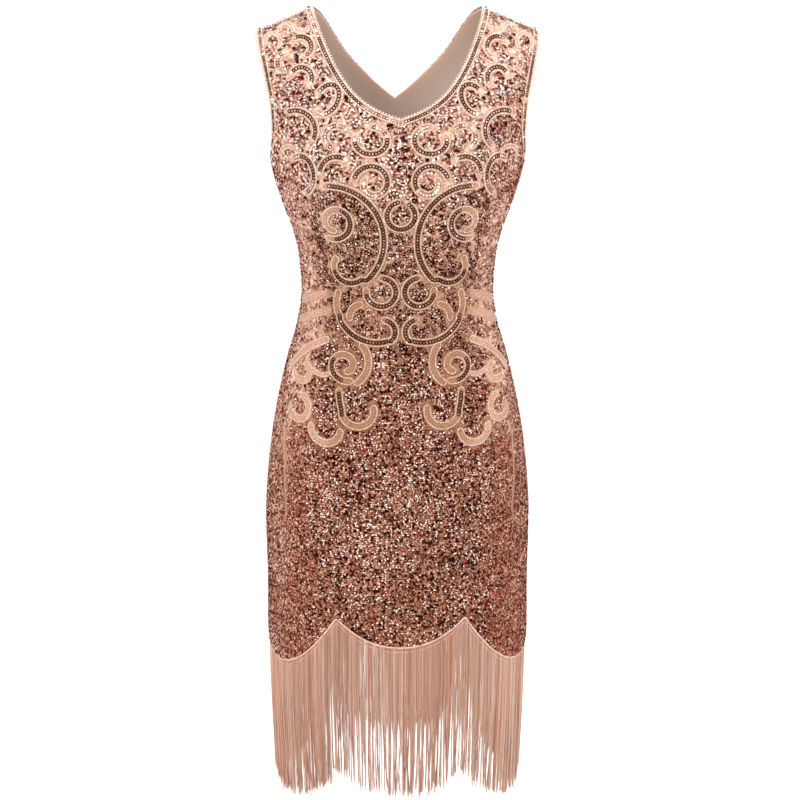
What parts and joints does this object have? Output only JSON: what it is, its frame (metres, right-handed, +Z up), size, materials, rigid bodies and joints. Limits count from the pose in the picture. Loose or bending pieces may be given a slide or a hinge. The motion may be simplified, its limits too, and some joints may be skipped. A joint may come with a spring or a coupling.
{
  "type": "flapper dress",
  "caption": "Sleeveless sequinned sheath dress with a V neck front and back, beaded scroll bands, a scalloped corded hem and a long fringe, hollow as worn.",
  "frame": {"origin": "midway between the two shoulder seams at their neck ends, in the plane of the side seams, where the wearer's shoulders hold the dress", "axes": "+Z up along the dress, -Y towards the front, +X towards the viewer's right when the front is seen"},
  "size_m": [0.33, 0.2458, 0.951],
  "materials": {
    "sequinned_mesh": "peach mesh covered with rose-beige and dark red sequins",
    "lining": "plain matt taupe lining",
    "beaded_edging": "cream bead lines with sequins between them",
    "scroll_beads": "cream bead lines on peach mesh with dark-ringed sequins",
    "satin_cord": "pale pink satin cord",
    "fringe_strands": "salmon rayon fringe"
  },
  "bodies": {
    "root": {"front_panel": "sequinned_mesh", "back_panel": "sequinned_mesh", "back_lining": "lining", "neck_edging_front": "beaded_edging", "neck_edging_back": "beaded_edging", "armhole_edging_front_left": "beaded_edging", "armhole_edging_front_right": "beaded_edging", "armhole_edging_back_left": "beaded_edging", "armhole_edging_back_right": "beaded_edging", "hem_piping_front": "satin_cord", "hem_piping_back": "satin_cord", "fringe_front": "fringe_strands", "fringe_back": "fringe_strands", "shoulder_hook_left": "scroll_beads", "shoulder_hook_right": "scroll_beads", "shoulder_loop_left": "scroll_beads", "shoulder_loop_right": "scroll_beads", "shoulder_curl_left": "scroll_beads", "shoulder_curl_right": "scroll_beads", "neck_teardrop_left": "scroll_beads", "neck_teardrop_right": "scroll_beads", "armhole_ring_left": "scroll_beads", "armhole_ring_right": "scroll_beads", "front_crescent_left": "scroll_beads", "front_crescent_right": "scroll_beads", "front_oval_left": "scroll_beads", "front_oval_right": "scroll_beads", "bust_crescent_left": "scroll_beads", "bust_crescent_right": "scroll_beads", "bust_spiral_left": "scroll_beads", "bust_spiral_right": "scroll_beads", "side_teardrop_left": "scroll_beads", "side_teardrop_right": "scroll_beads", "big_scroll_left": "scroll_beads", "big_scroll_right": "scroll_beads", "inner_spiral_left": "scroll_beads", "inner_spiral_right": "scroll_beads", "waist_loop_left": "scroll_beads", "waist_loop_right": "scroll_beads", "waist_scroll_left": "scroll_beads", "waist_scroll_right": "scroll_beads", "upper_leaf_left": "scroll_beads", "upper_leaf_right": "scroll_beads", "lower_leaf_left": "scroll_beads", "lower_leaf_right": "scroll_beads", "long_leaf_left": "scroll_beads", "long_leaf_right": "scroll_beads", "hip_spiral_left": "scroll_beads", "hip_spiral_right": "scroll_beads", "hip_drop_left": "scroll_beads", "hip_drop_right": "scroll_beads", "hip_ring_left": "scroll_beads", "hip_ring_right": "scroll_beads", "hip_loop_left": "scroll_beads", "hip_loop_right": "scroll_beads", "low_loop_left": "scroll_beads", "low_loop_right": "scroll_beads", "waist_flower": "scroll_beads"}
  },
  "joints": []
}
